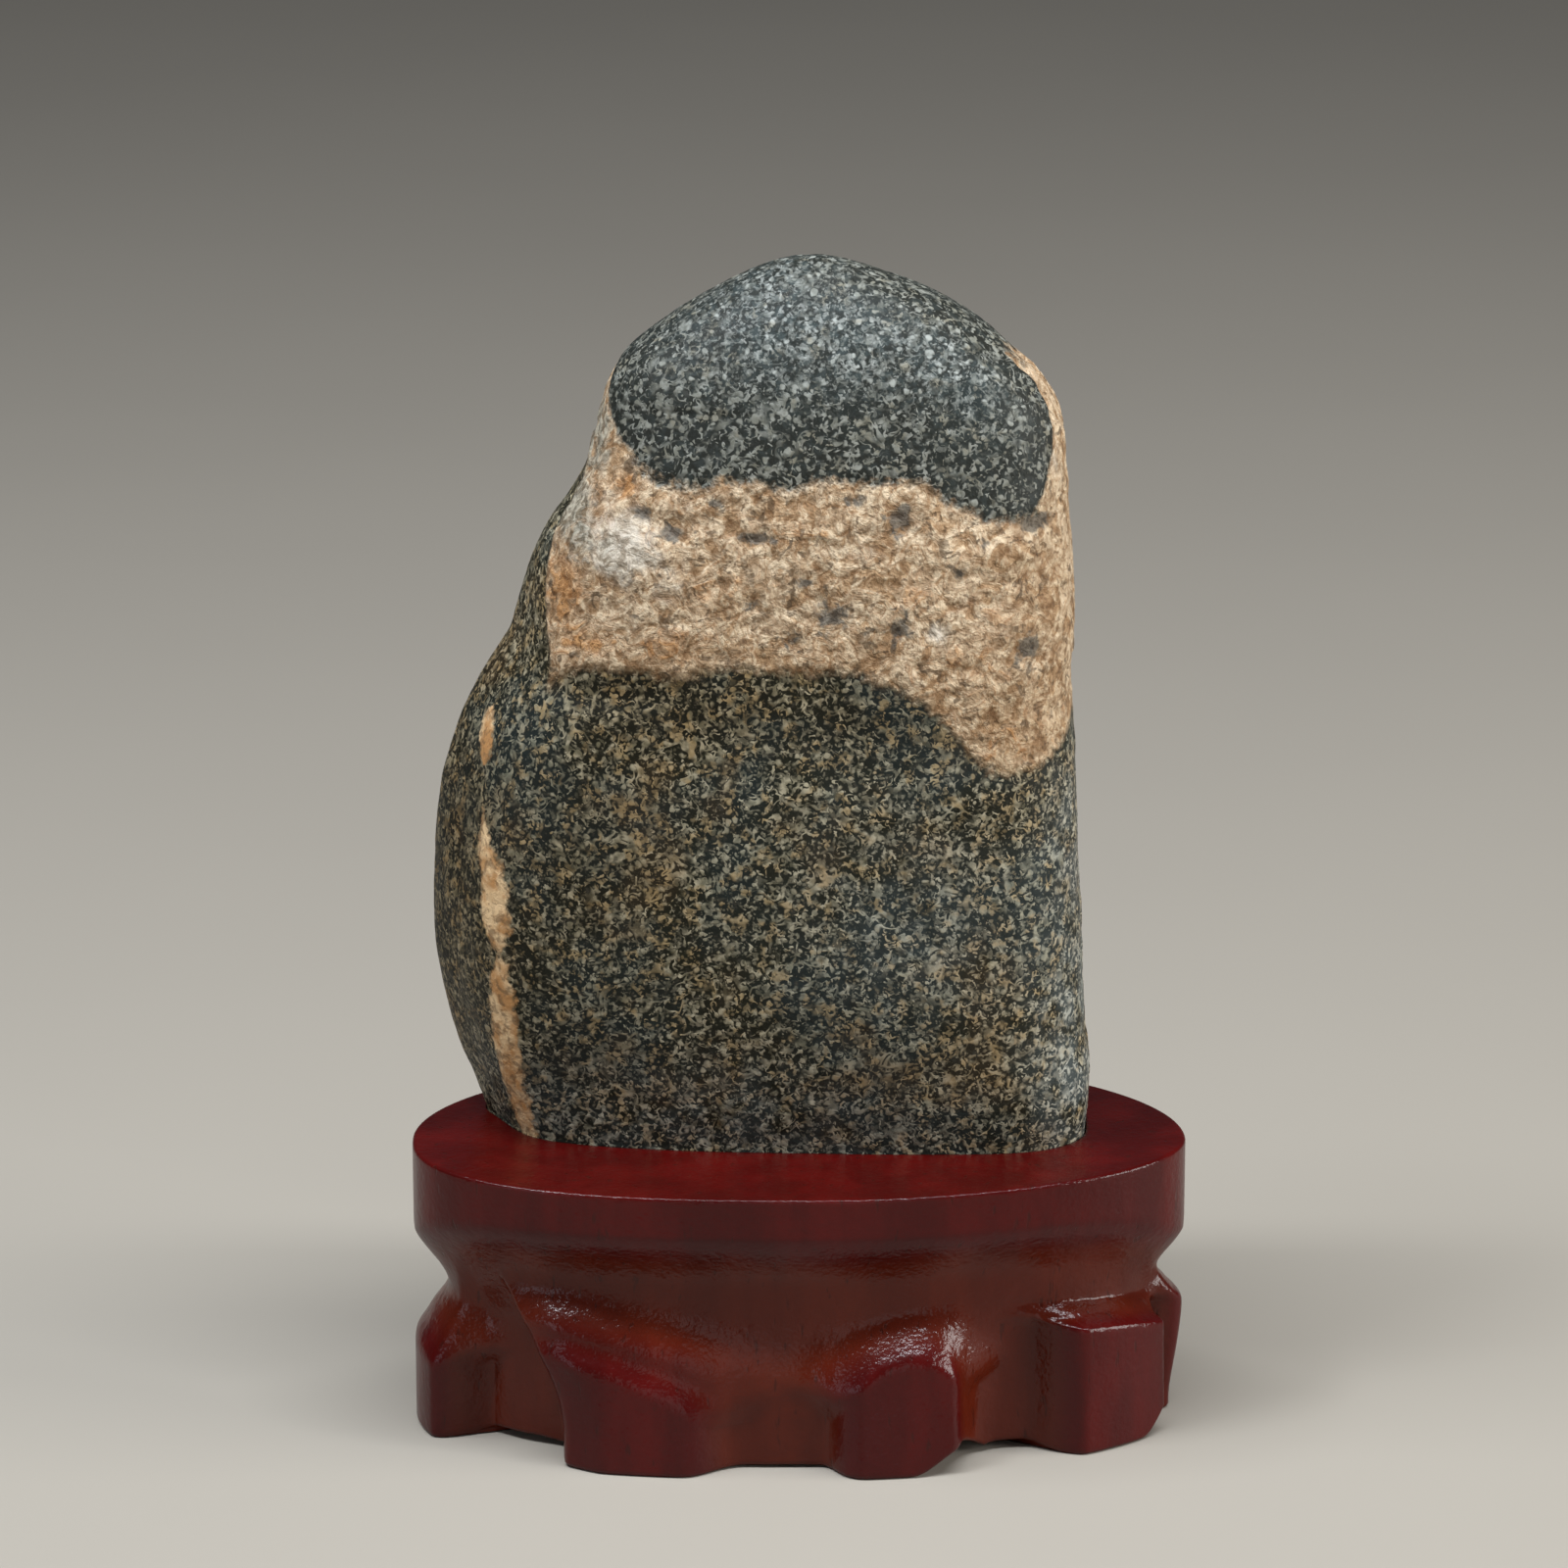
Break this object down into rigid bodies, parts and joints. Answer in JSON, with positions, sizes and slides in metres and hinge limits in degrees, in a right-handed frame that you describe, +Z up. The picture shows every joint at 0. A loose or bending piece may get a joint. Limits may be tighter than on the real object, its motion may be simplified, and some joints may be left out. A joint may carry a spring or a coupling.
{
  "type": "scholars rock",
  "caption": "Upright scholars rock of dark speckled stone crossed by a tan band, resting in a shallow seat in a carved, footed, dark red lacquered wood stand.",
  "frame": {"origin": "on the table under the middle of the whole object: the centre of the bottom of its bounding box", "axes": "+Z up along the height of the stone, +X towards the right end of the stand and -Y towards the front, the side with the broad face of the stone"},
  "size_m": [0.14, 0.0794, 0.2135],
  "materials": {
    "stone": "water-worn, matt to faintly waxy",
    "stand": "dark red gloss lacquer over open-grained wood"
  },
  "bodies": {
    "root": {"stone": "stone", "stand": "stand"}
  },
  "joints": []
}
